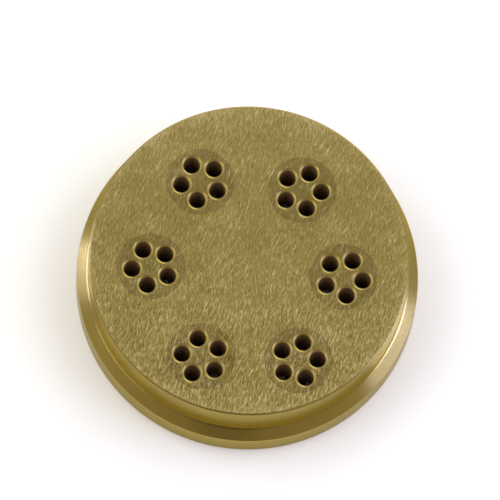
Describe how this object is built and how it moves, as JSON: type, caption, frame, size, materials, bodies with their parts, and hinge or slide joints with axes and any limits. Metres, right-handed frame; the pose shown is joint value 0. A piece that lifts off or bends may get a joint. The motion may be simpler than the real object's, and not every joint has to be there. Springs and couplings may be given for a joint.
{
  "type": "pasta extrusion die",
  "caption": "Round bronze pasta extrusion die with a clamping flange, a conical shoulder, flush feed inserts with countersunk feed holes, and outlets with forming pins for hollow tubes.",
  "frame": {"origin": "middle of the lower face, where the tubes leave", "axes": "+Z along the die's axis, towards the inlet face with the feed holes; -Y is the side that the ring of inserts is shifted to"},
  "size_m": [0.059, 0.059, 0.016],
  "materials": {
    "body_bronze": "brushed inlet face, fine-turned walls",
    "insert_bronze": "brushed with the body's face, a little duller; pins fine-turned"
  },
  "bodies": {
    "root": {"die_body": "body_bronze", "feed_insert_1": "insert_bronze", "feed_insert_2": "insert_bronze", "feed_insert_3": "insert_bronze", "feed_insert_4": "insert_bronze", "feed_insert_5": "insert_bronze", "feed_insert_6": "insert_bronze"}
  },
  "joints": []
}
